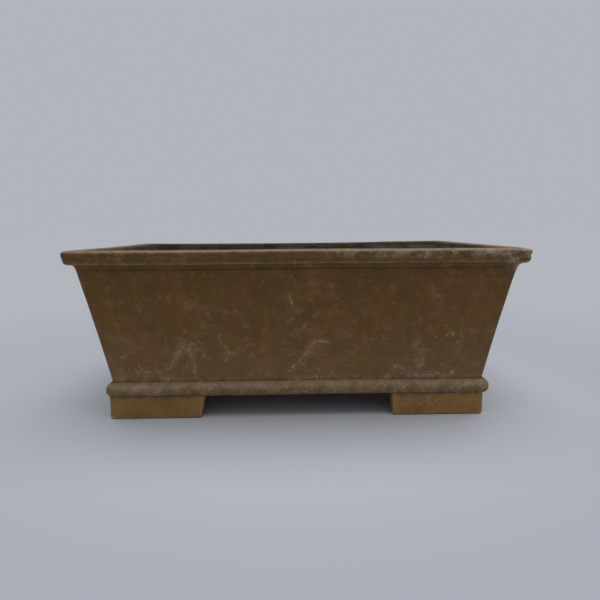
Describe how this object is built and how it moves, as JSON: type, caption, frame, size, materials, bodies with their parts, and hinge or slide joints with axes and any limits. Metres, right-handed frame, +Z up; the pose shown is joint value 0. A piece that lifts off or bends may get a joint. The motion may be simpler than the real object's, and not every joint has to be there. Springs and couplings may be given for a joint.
{
  "type": "rectangular bonsai pot",
  "caption": "Rectangular unglazed stoneware bonsai pot with flared walls, a flat overhanging rim, a round base bead and L-shaped corner feet.",
  "frame": {"origin": "on the ground plane, under the middle of the rim's outline", "axes": "+X along the length, +Y from the front to the rear, +Z up"},
  "size_m": [0.42, 0.29, 0.163],
  "materials": {
    "clay_body": "matte",
    "clay_trim": "matte",
    "clay_foot": "matte",
    "clay_inside": "matte"
  },
  "bodies": {
    "root": {"floor_slab": "clay_inside", "front_wall": "clay_body", "right_wall": "clay_body", "rear_wall": "clay_body", "left_wall": "clay_body", "front_rim": "clay_trim", "right_rim": "clay_trim", "rear_rim": "clay_trim", "left_rim": "clay_trim", "front_cove": "clay_body", "right_cove": "clay_body", "rear_cove": "clay_body", "left_cove": "clay_body", "front_bead": "clay_trim", "right_bead": "clay_trim", "rear_bead": "clay_trim", "left_bead": "clay_trim", "front_floor_coil": "clay_inside", "right_floor_coil": "clay_inside", "rear_floor_coil": "clay_inside", "left_floor_coil": "clay_inside", "front_left_corner_coil": "clay_inside", "front_right_corner_coil": "clay_inside", "rear_right_corner_coil": "clay_inside", "rear_left_corner_coil": "clay_inside", "front_left_foot": "clay_foot", "front_right_foot": "clay_foot", "rear_right_foot": "clay_foot", "rear_left_foot": "clay_foot"}
  },
  "joints": []
}
